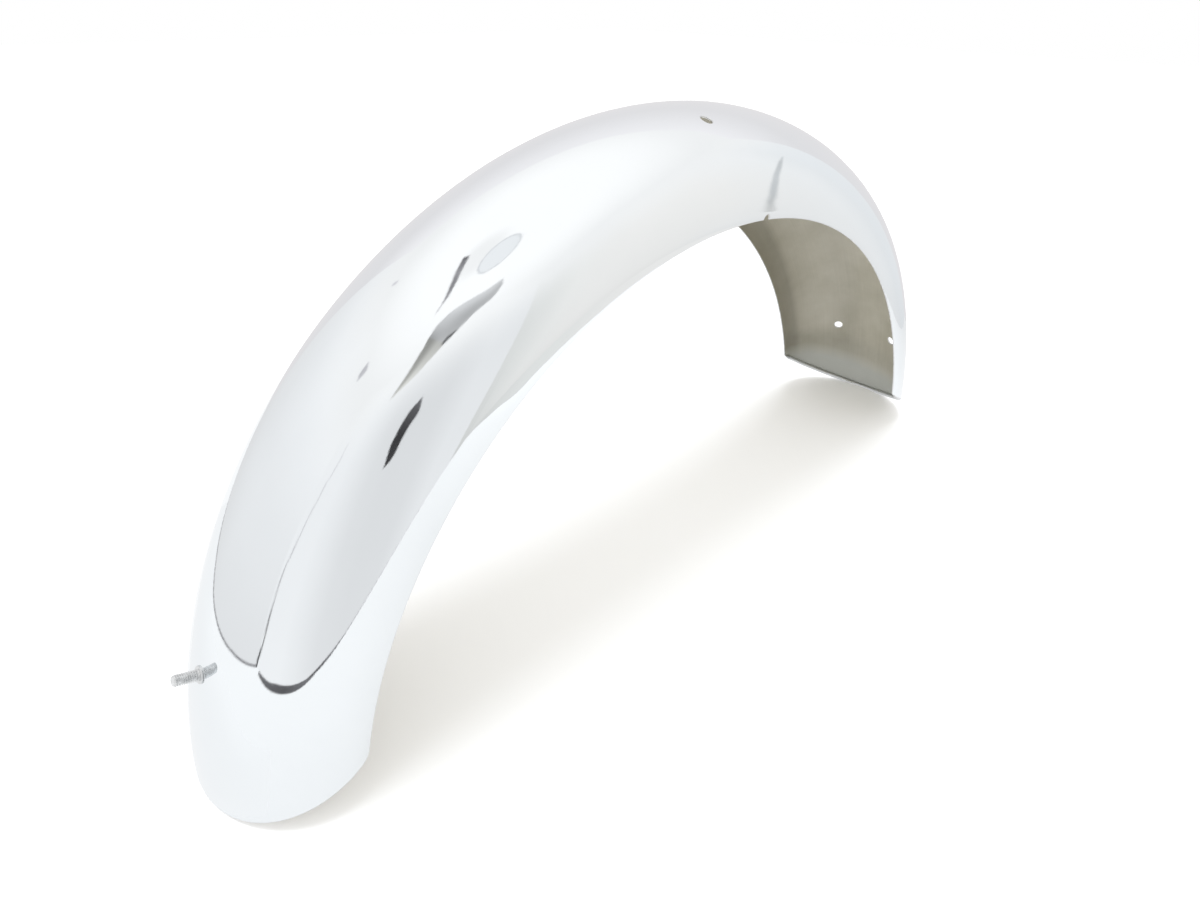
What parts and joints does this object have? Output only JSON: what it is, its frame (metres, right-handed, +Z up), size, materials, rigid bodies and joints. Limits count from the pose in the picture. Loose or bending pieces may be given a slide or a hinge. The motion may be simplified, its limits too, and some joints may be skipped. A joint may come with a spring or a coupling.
{
  "type": "motorcycle front mudguard",
  "caption": "Chrome-plated pressed-steel mudguard blade, a deep C-section arch over a motorcycle's front wheel, with raked wired ends, bolt holes and a threaded stud.",
  "frame": {"origin": "on the floor under the middle of the arch, which stands on its two tips", "axes": "+X along the blade towards the end with the rear stay's holes, +Y across it, +Z up from the floor to the crown; the wheel axle is parallel to Y, 43.4 mm below the floor"},
  "size_m": [0.6945, 0.127, 0.3066],
  "materials": {
    "chrome_plate": "polished chrome outside, dull plating inside",
    "zinc_plate": "zinc-plated thread"
  },
  "bodies": {
    "root": {"blade": "chrome_plate", "stud": "zinc_plate"}
  },
  "joints": []
}
